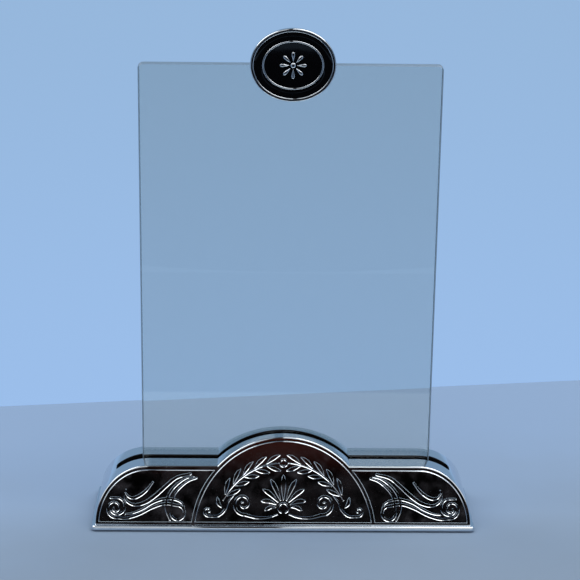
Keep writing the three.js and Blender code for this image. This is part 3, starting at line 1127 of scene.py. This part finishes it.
def palmette_side() -> list[Stroke]:
    """Draws the palmette's four right petals, which droop more the lower they are.

    Returns:
        Its channels, in distance from the middle and height above the foot.
    """
    petals = []
    for lean, reach, width in ((22, 13.0, 2.0), (43, 11.8, 1.9), (64, 10.0, 1.8), (84, 8.0, 1.6)):
        out = np.array([3.5, 0.45 * (3.5 + reach), 0.8 * reach, reach])
        bearing = np.radians(90 - lean * np.array([1, 1.01, 1.06, 1.14]))
        leaf = np.column_stack([out * np.cos(bearing), 6.9 + out * np.sin(bearing)])
        petals.append(Stroke(through(leaf), (0.4, width, 0.5), belly=0.7))
    return petals


def laurel_side() -> list[Stroke]:
    """Draws the right half of a laurel band that follows the arch.

    Returns:
        Its channels, in distance from the middle and height above the foot.
    """
    centre, radius = (0, -4.5), 30.2
    branch = [Stroke(whorl(centre, (radius, radius), 29, 57), (0.4, 0.7, 0.4))]
    for station in (34, 44.5, 55, 65.5, 76):
        for side in (-1, 1):
            turn = np.radians(station + np.array([0, 4, 8, 11.2]))
            out = radius + side * np.array([0.5, 1.7, 2.7, 3.2])
            leaf = np.column_stack([out * np.cos(turn), centre[1] + out * np.sin(turn)])
            branch.append(Stroke(through(leaf), (0.4, 1.7, 0.4), belly=0.55))
    return branch


def scroll_side() -> list[Stroke]:
    """Draws the right scroll under the palmette and the tendril that leaves it.

    Returns:
        Its channels, in distance from the middle and height above the foot.
    """
    stem = through([(2.6, 4.3), (6.4, 3.2), (11.6, 3.0), (16.9, 4.2)])
    volute = whorl((17.6, 8.8), (4.65, 0.5), -98, 540, power=0.9)
    tendril = through([(21.6, 12.4), (24.2, 9.4), (25.6, 6.2), (28.6, 3.7), (32.6, 3.5)])
    curl = whorl((33, 5.6), (2.1, 0.5), -100, 330)
    return [
        Stroke(np.vstack([stem, volute[1:]]), (0.5, 1.3, 0.7), belly=0.35),
        Stroke(np.vstack([tendril, curl[1:]]), (0.4, 1.1, 0.6), belly=0.5),
        Stroke(through([(27.2, 7.2), (28.4, 8.8), (28.9, 11.4)]), (0.4, 1.6, 0.4)),
    ]


def medallion_ornament() -> list[Stroke]:
    """Draws a palmette between two scrolls, under a laurel band.

    Returns:
        Its channels, in distance from the middle and height above the foot.
    """
    half = [*palmette_side(), *laurel_side(), *scroll_side()]
    middle = [
        Stroke(through([(0, 10.4), (0, 15.4), (0, 20.6)]), (0.4, 2.1, 0.5), belly=0.7),
        Stroke(whorl((0, 6.9), (2.1, 2.1), -60, 300), (0.7, 0.9, 0.7)),
        Stroke(whorl((0, 25.7), (1.5, 1.5), 90, 350), (0.8, 0.8, 0.8)),
    ]
    return middle + half + [stroke.flipped() for stroke in half]


@dataclass
class Medallion:
    """The half-round plate set into the middle of the front, engraved with a palmette."""

    base: CastBase
    edge: Profile = ((0, 0.28), (0.03, 0.5), (0.08, 0.8), (0.16, 0.95), (0.25, 1))

    def plate(self) -> None:
        """Builds the plate."""
        base = self.base
        profile = [(0.0, base.medallion_back_gap - base.medallion_sink)]
        profile += [(inset, share * base.panel_rise) for inset, share in self.edge]
        rings = []
        for inset, height in profile:
            ring = base.segment(base.medallion_radius - inset, base.foot_border + inset)
            rings.append(base.on_front(ring, np.full(len(ring), height)))
        skin = Skin()
        rows = skin.loft(rings, capped=False)
        skin.face(rows[0][::-1], flat=True)
        front = Relief(base.channel_wall, base.channel_depth, base.panel_rise)
        front.draw(ring, base.panel_rise, closed=True)  # the last ring borders the engraved face
        for stroke in medallion_ornament():
            front.engrave(stroke)
        points, heights, triangles = front.cut()
        skin.cover(base.on_front(points, heights), triangles, heights)
        piece = skin.build("engraved_medallion", [base.finishes.chrome])
        fit(piece, Body.BASE, Slot.CHROME, "centre_medallion")


@dataclass
class Underside:
    """The plate under the casting, whose rounded edge is the lip, and the felt below it."""

    finishes: Finishes
    corner: float = 2.0
    lip_radius: float = 0.9
    felt_edge: float = 0.25
    least_corner: float = 0.2
    steps: int = 8

    def slab(
        self, name: str, node: str, edge: float, material: bpy.types.Material, round_below: bool
    ) -> bpy.types.Object:
        """Builds a flat plate with round corners and rounded edges.

        Args:
            name: the piece's name.
            node: the node that it stands for.
            edge: radius of its upper edge, and of its lower edge if that is round.
            material: its finish.
            round_below: whether the lower edge is round too.

        Returns:
            The piece, not yet on its body.
        """
        low, high = box_mm(node)
        turn = np.radians(np.linspace(0, 90, self.steps + 1))
        profile = [(edge * (1 - math.cos(a)), high[2] - edge * (1 - math.sin(a))) for a in turn]
        if round_below:
            below = [(edge * (1 - math.sin(a)), low[2] + edge * (1 - math.cos(a))) for a in turn]
            profile = below + profile
        else:
            profile = [(0.0, low[2])] + profile
        rings = []
        for inset, height in profile:
            radius = max(self.corner - inset, self.least_corner)
            plan = rounded_rectangle(high[0] - inset, high[1] - inset, radius, self.steps)
            rings.append(lying(plan, height))
        skin = Skin()
        skin.loft(rings)
        return skin.build(name, [material])

    def build(self) -> None:
        """Builds the plate and the felt."""
        chrome, felt = self.finishes.chrome, self.finishes.felt
        plate = self.slab("lip_plate", "base_plate", self.lip_radius, chrome, round_below=False)
        fit(plate, Body.BASE, Slot.CHROME, "base_plate")
        foot = self.slab("felt_foot", "felt_pad", self.felt_edge, felt, round_below=True)
        fit(foot, Body.BASE, Slot.FELT, "felt_pad")


# Glass


def standing_plate(
    node: str, profile: Sequence[tuple[float, float]], corner: float, steps: int
) -> list[np.ndarray]:
    """Draws the rings of an upright plate with round corners, in a node's place.

    Args:
        node: the node.
        profile: how far in from the edge each ring is, and its depth.
        corner: radius of the plate's corners.
        steps: how many steps a corner takes.

    Returns:
        The rings.
    """
    low, high = box_mm(node)
    middle = (low + high) / 2
    half = (high - low) / 2
    rings = []
    for inset, depth in profile:
        plan = rounded_rectangle(half[0] - inset, half[2] - inset, corner - inset, steps)
        rings.append(upright(plan + middle[[0, 2]], depth))
    return rings


@dataclass
class GlassPane:
    """One clear pane with round corners and ground edges."""

    finishes: Finishes
    node: str
    name: str
    body: Body
    corner: float = 2.2
    arris: float = 0.5
    steps: int = 12
    crease: float = 30.0

    def build(self) -> None:
        """Builds the pane with clear faces and satin edges."""
        low, high = box_mm(self.node)
        arris = self.arris
        profile = ((arris, low[1]), (0, low[1] + arris), (0, high[1] - arris), (arris, high[1]))
        skin = Skin()
        skin.loft(standing_plate(self.node, profile, self.corner, self.steps), finish=1)
        materials = [self.finishes.glass, self.finishes.ground_glass]
        fit(skin.build(self.name, materials, self.crease), self.body, Slot.GLASS, self.node)


# Clip


@dataclass
class TopClip:
    """The clip over the top edge of the glass: oval badge, bent spring, rivets and felt pads."""

    finishes: Finishes
    rim: float = 1.6
    ring_width: float = 3.4
    fillet_line: float = 0.9
    enamel_gap: float = 0.05
    meniscus: float = 0.1
    edge_round: float = 0.55
    back_round: float = 0.5
    back_break: float = 0.15
    field_reach: float = 0.96  # share of the way to its middle that the inner enamel's rings go
    petals: int = 8
    petal_half: tuple[float, float] = (2.1, 1.0)
    petal_place: float = 3.6
    petal_taper: float = 0.38
    petal_rise: float = 0.5
    bead_radius: float = 1.15
    bead_rise: float = 0.55
    rosette_sink: float = 0.1
    dome_angles: tuple[float, ...] = (0, 15, 30, 45, 60, 72, 82)
    spring_thickness: float = 0.6
    spring_bend: float = 1.0
    spring_edge: float = 0.2
    spring_step: float = 0.2
    leg_past_pad: float = 1.0
    tip_flare: float = 1.4
    tip_drop: float = 2.2
    pad_corner: float = 1.0
    pad_edge: Profile = ((0, 0.2), (0.07, 0.06), (0.2, 0))
    oval_steps: int = 128
    round_steps: int = 5
    bead_steps: int = 10
    swell_steps: int = 8
    field_steps: int = 12
    rosette_steps: int = 40
    leg_points: int = 6

    def oval_ring(self, inset: float, depth: float) -> np.ndarray:
        """Draws the badge's oval.

        Args:
            inset: how far it is moved in.
            depth: its depth.

        Returns:
            Its points in space.
        """
        low, high = box_mm("badge_casting")
        middle = (low + high) / 2
        half = (high - low) / 2
        return upright(oval(half[0] - inset, half[2] - inset, self.oval_steps) + middle[[0, 2]], depth)

    def badge(self) -> None:
        """Builds the chrome plate of the badge with its rim and the line between the enamels."""
        low, high = box_mm("badge_casting")
        floor = box_mm("badge_enamel_centre")[1][1]
        face = low[1]
        edge, back, nick = self.edge_round, self.back_round, self.back_break
        turn = np.radians(np.linspace(0, 90, self.round_steps + 1))
        inner = self.rim + self.ring_width
        profile = [(back, high[1]), (nick, high[1] - nick), (0, high[1] - back)]
        profile += [(edge * (1 - math.cos(a)), face + edge * (1 - math.sin(a))) for a in turn]
        soft = (self.rim - edge) / 2
        profile += [(self.rim - soft * (1 - math.sin(a)), face + soft * (1 - math.cos(a))) for a in turn]
        profile += [(self.rim, floor), (inner, floor)]
        half = self.fillet_line / 2
        bead = np.radians(np.linspace(180, 0, self.bead_steps + 1))
        profile += [(inner + half + half * math.cos(a), face + half - half * math.sin(a)) for a in bead]
        profile += [(inner + self.fillet_line, floor)]
        skin = Skin()
        skin.loft([self.oval_ring(inset, depth) for inset, depth in profile])
        fit(skin.build("badge_bezel", [self.finishes.chrome]), Body.CLIP, Slot.CHROME, "badge_casting")

    def enamels(self) -> None:
        """Builds the two enamel fields, each with a slightly full top."""
        low, high = box_mm("badge_enamel_ring")
        face, floor = low[1], high[1]
        outer = self.rim + self.enamel_gap
        inner = self.rim + self.ring_width - self.enamel_gap
        across = np.linspace(0, 1, self.swell_steps + 1)
        swell = self.meniscus * 4 * across * (1 - across)
        skin = Skin()
        rings = [self.oval_ring(outer, floor)]
        rings += [self.oval_ring(outer + t * (inner - outer), face - s) for t, s in zip(across, swell)]
        rings += [self.oval_ring(inner, floor)]
        rows = skin.loft(rings, capped=False)
        skin.strip(rows[-1], rows[0])
        band = skin.build("enamel_band", [self.finishes.enamel])
        fit(band, Body.CLIP, Slot.ENAMEL, "badge_enamel_ring")
        edge = self.rim + self.ring_width + self.fillet_line + self.enamel_gap
        reach = (high[2] - low[2]) / 2 + outer - edge
        skin = Skin()
        rings = [self.oval_ring(edge, floor)]
        for t in np.linspace(0, self.field_reach, self.field_steps + 1):
            rings.append(self.oval_ring(edge + t * reach, face - self.meniscus * (1 - (1 - t) ** 2)))
        skin.loft(rings)
        field = skin.build("enamel_field", [self.finishes.enamel])
        fit(field, Body.CLIP, Slot.ENAMEL, "badge_enamel_centre")

    def rosette(self) -> None:
        """Builds the small chrome rosette on the enamel, of separate leaves round a bead."""
        low, high = box_mm("badge_enamel_centre")
        middle = (low + high) / 2
        place = middle[[0, 2]]
        foot = low[1] + self.rosette_sink
        leaf = oval(*self.petal_half, self.rosette_steps)
        leaf[:, 1] *= 1 - self.petal_taper + self.petal_taper * leaf[:, 0] / self.petal_half[0]
        skin = Skin()
        for number in range(self.petals):
            bearing = 2 * math.pi * number / self.petals
            ahead = (math.cos(bearing), math.sin(bearing))
            tilt = np.array([[ahead[0], -ahead[1]], [ahead[1], ahead[0]]])
            self.dome(skin, leaf @ tilt.T, place + tilt @ (self.petal_place, 0), foot, self.petal_rise)
        bead = oval(self.bead_radius, self.bead_radius, self.rosette_steps)
        self.dome(skin, bead, place, foot, self.bead_rise)
        fit(skin.build("badge_rosette", [self.finishes.chrome]), Body.CLIP, Slot.CHROME)

    def dome(self, skin: Skin, plan: Line, place: np.ndarray, foot: float, height: float) -> None:
        """Adds a low dome over a closed plan, standing out towards the front.

        Args:
            skin: takes the faces.
            plan: outline of the dome's foot about its own middle.
            place: where that middle is.
            foot: depth of the dome's foot.
            height: how far it stands out.
        """
        angles = np.radians(self.dome_angles)
        skin.loft([upright(place + plan * math.cos(a), foot - height * math.sin(a)) for a in angles])

    def spring(self) -> None:
        """Builds the bent strip with rolled edges."""
        low, high = box_mm("clip_spring")
        path = self.spring_path(low, high)
        way = np.gradient(path, axis=0)
        way /= np.linalg.norm(way, axis=1)[:, None]
        out = np.column_stack([way[:, 1], -way[:, 0]])
        half = (high[0] - low[0]) / 2
        section = rounded_rectangle(half, self.spring_thickness / 2, self.spring_edge, steps=4)
        across = (low[0] + high[0]) / 2 + section[:, 0]
        rings = [np.column_stack([across, at + section[:, 1:] * side]) for at, side in zip(path, out)]
        skin = Skin()
        skin.loft(rings)
        fit(skin.build("spring_strip", [self.finishes.spring]), Body.CLIP, Slot.SPRING, "clip_spring")

    def spring_path(self, low: np.ndarray, high: np.ndarray) -> Line:
        """Middle line of the strip, as depth and height.

        Args:
            low: lowest corner of the node.
            high: highest corner of the node.

        Returns:
            The line from the front leg's end, over the glass, to the rear tip.
        """
        count = self.leg_points
        half = self.spring_thickness / 2
        bend = self.spring_bend + half
        leg = -low[1] - half
        top = high[2] - half
        end = box_mm("clip_pad_front")[0][2] - self.leg_past_pad
        knee = low[2] + self.tip_drop
        front = np.column_stack([np.full(count, -leg), np.linspace(end, top - bend, count)])
        over = whorl((-leg + bend, top - bend), (bend, bend), 180, -90, step=self.spring_step)
        back = whorl((leg - bend, top - bend), (bend, bend), 90, -90, step=self.spring_step)
        rear = np.column_stack([np.full(count, leg), np.linspace(top - bend, knee + 0.6, count)])
        tip = through(
            [(leg, knee + 0.5), (leg + 0.12, knee - 0.1), (leg + self.tip_flare, low[2] + 0.12)], step=0.3
        )
        return np.vstack([front, over[1:], back, rear[1:], tip])

    def pad(self, side: int, name: str, node: str) -> None:
        """Builds one felt pad with round corners and softened edges.

        Args:
            side: -1 for the pad before the glass, 1 for the one behind it.
            name: the piece's name.
            node: the node that it stands for.
        """
        low, high = box_mm(node)
        near, far = (low[1], high[1]) if side > 0 else (high[1], low[1])
        profile = [(0, far), *((inset, near + side * depth) for inset, depth in self.pad_edge)]
        skin = Skin()
        skin.loft(standing_plate(node, profile, self.pad_corner, steps=6))
        fit(skin.build(name, [self.finishes.felt]), Body.CLIP, Slot.FELT, node)

    def build(self) -> None:
        """Builds the whole clip."""
        self.badge()
        self.enamels()
        self.rosette()
        self.spring()
        self.pad(-1, "front_felt_pad", "clip_pad_front")
        self.pad(1, "rear_felt_pad", "clip_pad_rear")


# Studio


@dataclass
class Studio:
    """Table, light and camera round the object."""

    image_size: int = 580
    focal_pixels: float = 1810.0
    sensor: float = 36.0
    camera_place: tuple[float, float, float] = (-14.7, -743.0, 344.7)
    pitch: float = 17.92
    yaw: float = -1.29
    roll: float = 0.76
    low_wall_colour: str = "#9cbfec"
    wall_colour: str = "#96b7dc"
    far_colour: str = "#83a1be"
    sky_colour: str = "#f4f9fd"
    ceiling_colour: str = "#76828f"
    screen_colour: str = "#3c3836"
    side_colour: str = "#7d8fa4"
    dark_colour: str = "#030303"
    mottle_colour: str = "#3a383b"
    mottle_scale: float = 180.0  # spots across the width of the surroundings
    warm_colour: str = "#3a1a15"
    table_turn: float = 7.9
    table_back: float = 147.0
    table_front: float = 1600.0
    table_half: float = 1100.0
    table_thickness: float = 18.0
    table_edge: float = 4.0
    table_corner: float = 30.0
    table_steps: int = 5
    card_height: float = 1.0

    def camera(self) -> None:
        """Sets the camera where the photograph was taken from."""
        yaw, pitch, roll = (math.radians(angle) for angle in (self.yaw, self.pitch, self.roll))
        level = Vector((math.cos(yaw), math.sin(yaw), 0))
        ahead = Vector((-math.sin(yaw), math.cos(yaw), 0))
        up = ahead * math.sin(pitch) + Vector((0, 0, math.cos(pitch)))
        look = ahead * math.cos(pitch) - Vector((0, 0, math.sin(pitch)))
        right = level * math.cos(roll) + up * math.sin(roll)
        top = up * math.cos(roll) - level * math.sin(roll)
        lens = bpy.data.cameras.new("camera")
        lens.sensor_width = self.sensor
        lens.lens = self.focal_pixels / self.image_size * self.sensor
        lens.clip_start = 0.01
        camera = bpy.data.objects.new("camera", lens)
        turn = Matrix((right, top, -look)).transposed().to_4x4()
        camera.matrix_world = Matrix.Translation(Vector(self.camera_place) * MM) @ turn
        bpy.context.scene.collection.objects.link(camera)
        bpy.context.scene.camera = camera

    def table(self) -> None:
        """Builds the pale table top, whose rear edge is a little behind the object."""
        depth = (self.table_back + self.table_front) / 2
        rings = []
        for angle in np.radians(np.linspace(0, 90, self.table_steps + 1)):
            inset = self.table_edge * (1 - math.cos(angle))
            corner = self.table_corner - inset
            plan = rounded_rectangle(self.table_half - inset, depth - inset, corner, steps=8)
            plan += (0, self.table_back - depth)
            rings.append(lying(plan, -self.table_edge * (1 - math.sin(angle))))
        under = rings[0].copy()
        under[:, 2] = -self.table_thickness
        skin = Skin()
        skin.loft([under, *rings])
        table = skin.build("table_top", [TableLaminate().make()])
        table.rotation_euler.z = math.radians(self.table_turn)

    def card(self, name: str, plan: Line, colour: str) -> None:
        """Lays a matt card on the table that only reflections see, as is done to light glass and metal.

        Args:
            name: the card's name.
            plan: its outline on the table.
            colour: its colour.
        """
        mesh = bpy.data.meshes.new(name)
        mesh.from_pydata((lying(plan, self.card_height) * MM).tolist(), [], [tuple(range(len(plan)))])
        mesh.materials.append(MattCard(name, (colour,)).make())
        card = bpy.data.objects.new(name, mesh)
        card.visible_camera = False
        card.visible_diffuse = False
        card.visible_transmission = False
        card.visible_shadow = False
        bpy.context.scene.collection.objects.link(card)

    def lamp(
        self, name: str, place: tuple[float, float, float], size: tuple[float, float], watts: float
    ) -> None:
        """Hangs a soft lamp that points at the object.

        Args:
            name: the lamp's name.
            place: where it hangs.
            size: its width and length.
            watts: its power.
        """
        light = bpy.data.lights.new(name, type="AREA")
        light.shape = "RECTANGLE"
        light.size, light.size_y = size[0] * MM, size[1] * MM
        light.energy = watts
        lamp = bpy.data.objects.new(name, light)
        lamp.location = Vector(place) * MM
        lamp.rotation_euler = (-lamp.location).to_track_quat("-Z", "Y").to_euler()
        bpy.context.scene.collection.objects.link(lamp)

    def sky(self) -> None:
        """Sets the surroundings.

        The camera sees a blue wall all round. Reflections also see a duller wall higher up behind, a
        grey ceiling, pale light in front and overhead on the right, and below it a dark ground, warmer
        towards its top and greyer at both sides. A narrow dim screen stands in the pale light, a
        little left of the middle, and dulls the edges that mirror it.
        """
        world = bpy.data.worlds.new("surroundings")
        world.use_nodes = True
        tree = world.node_tree
        tree.nodes.clear()
        way = add_node(tree, "ShaderNodeTexCoord").outputs["Generated"]
        split = add_node(tree, "ShaderNodeSeparateXYZ", (way,))
        across, ahead, rise = (split.outputs[axis] for axis in ("X", "Y", "Z"))
        mottle = add_node(
            tree, "ShaderNodeTexNoise", {"Vector": way, "Scale": self.mottle_scale, "Detail": 5.0}
        )
        ray = add_node(tree, "ShaderNodeLightPath").outputs
        height = add_node(
            tree, "ShaderNodeMapRange", (rise, -0.42, -0.12), interpolation_type="SMOOTHSTEP"
        )
        colours = {6: linear(self.low_wall_colour), 7: linear(self.wall_colour)}
        wall = add_node(tree, "ShaderNodeMix", {0: height.outputs[0], **colours}, data_type="RGBA")
        # Each layer covers those before it where all its values pass from the first bound to the second.
        layers = (
            (linear(self.mottle_colour), ((mottle.outputs[0], 0.46, 0.74),)),
            (linear(self.warm_colour), ((rise, 0.236, 0.266),)),
            (linear(self.side_colour), ((across, 0.6, 0.85),)),
            (linear(self.side_colour), ((across, -0.6, -0.85),)),
            (linear(self.ceiling_colour), ((rise, 0.29, 0.4),)),
            (linear(self.sky_colour), ((rise, 0.29, 0.4), (rise, 0.95, 0.75), (ahead, 0.3, 0.05))),
            (linear(self.sky_colour), ((rise, 0.75, 0.95), (across, 0.0, 0.04), (ahead, 0.3, 0.05))),
            (
                linear(self.screen_colour),
                ((rise, 0.29, 0.4), (ahead, -0.05, -0.3), (across, -0.075, -0.06), (across, 0.02, 0.008)),
            ),
            (wall.outputs[2], ((rise, 0.95, 0.6), (ahead, -0.12, 0.12))),
            (linear(self.far_colour), ((rise, -0.1, 0.05), (rise, 0.95, 0.6), (ahead, 0.1, 0.5))),
            (wall.outputs[2], ((ray["Is Camera Ray"], 0.0, 1.0),)),
            (wall.outputs[2], ((ray["Is Transmission Ray"], 0.0, 1.0), (rise, 0.2, 0.05))),
        )
        colour = linear(self.dark_colour)
        for cover, bounds in layers:
            share = 1.0
            for value, low, high in bounds:
                ends = (value, low, high, 0.0, share)
                step = add_node(tree, "ShaderNodeMapRange", ends, interpolation_type="SMOOTHSTEP")
                share = step.outputs[0]
            mix = add_node(tree, "ShaderNodeMix", {0: share, 6: colour, 7: cover}, data_type="RGBA")
            colour = mix.outputs[2]
        glow = add_node(tree, "ShaderNodeBackground", {"Color": colour, "Strength": 1.0})
        add_node(tree, "ShaderNodeOutputWorld", {"Surface": glow.outputs[0]})
        bpy.context.scene.world = world

    def build(self) -> None:
        """Sets up everything round the object."""
        self.camera()
        self.table()
        # The upper half of the glass and the badge mirror the dark card, the glass's foot the pale one.
        self.card("dark_card", oval(half_width=420, half_height=520, count=64) + (10, -880), "#161517")
        for name, half, depth, colour in (
            ("grey_card", (200, 104), -254, "#3e444a"),
            ("pale_card", (130, 62), -86, "#e4f1f8"),
        ):
            self.card(name, rounded_rectangle(*half, radius=8, steps=4) + (10, depth), colour)
        self.sky()
        self.lamp("right_lamp", place=(560, 150, 1200), size=(1100, 900), watts=8.3)
        self.lamp("left_lamp", place=(-800, 150, 1100), size=(800, 900), watts=5.9)
        bpy.context.scene.view_settings.view_transform = "Standard"


def dress_node(node: str, material: bpy.types.Material) -> None:
    """Gives a CAD node that stays as it is its finish.

    Args:
        node: the node.
        material: its finish.
    """
    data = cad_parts[node].data
    data.materials.clear()
    data.materials.append(material)
    LOG.info("%s: keeps its shape, %s", node, material.name)


def main() -> None:
    """Builds the display piece by piece."""
    logging.basicConfig(level=logging.INFO, format="%(name)s: %(message)s")
    Studio().build()
    finishes = Finishes.make()
    base = CastBase.from_frame(finishes)
    base.shell()
    Medallion(base).plate()
    base.lining(-1, "front_lining", "slot_liner_front")
    base.lining(1, "rear_lining", "slot_liner_rear")
    Underside(finishes).build()
    GlassPane(finishes, "front_pane", "front_glass_pane", Body.FRONT_GLASS).build()
    GlassPane(finishes, "rear_pane", "rear_glass_pane", Body.REAR_GLASS).build()
    TopClip(finishes).build()
    dress_node("glass_seat", finishes.rubber)
    for node in ("medallion_retainer_left", "medallion_retainer_right"):
        dress_node(node, finishes.zinc)
    for number in range(1, 5):
        dress_node(f"base_screw_{number}", finishes.zinc)
    for node in ("clip_rivet_left", "clip_rivet_right"):
        dress_node(node, finishes.spring)


if __name__ == "__main__":
    main()
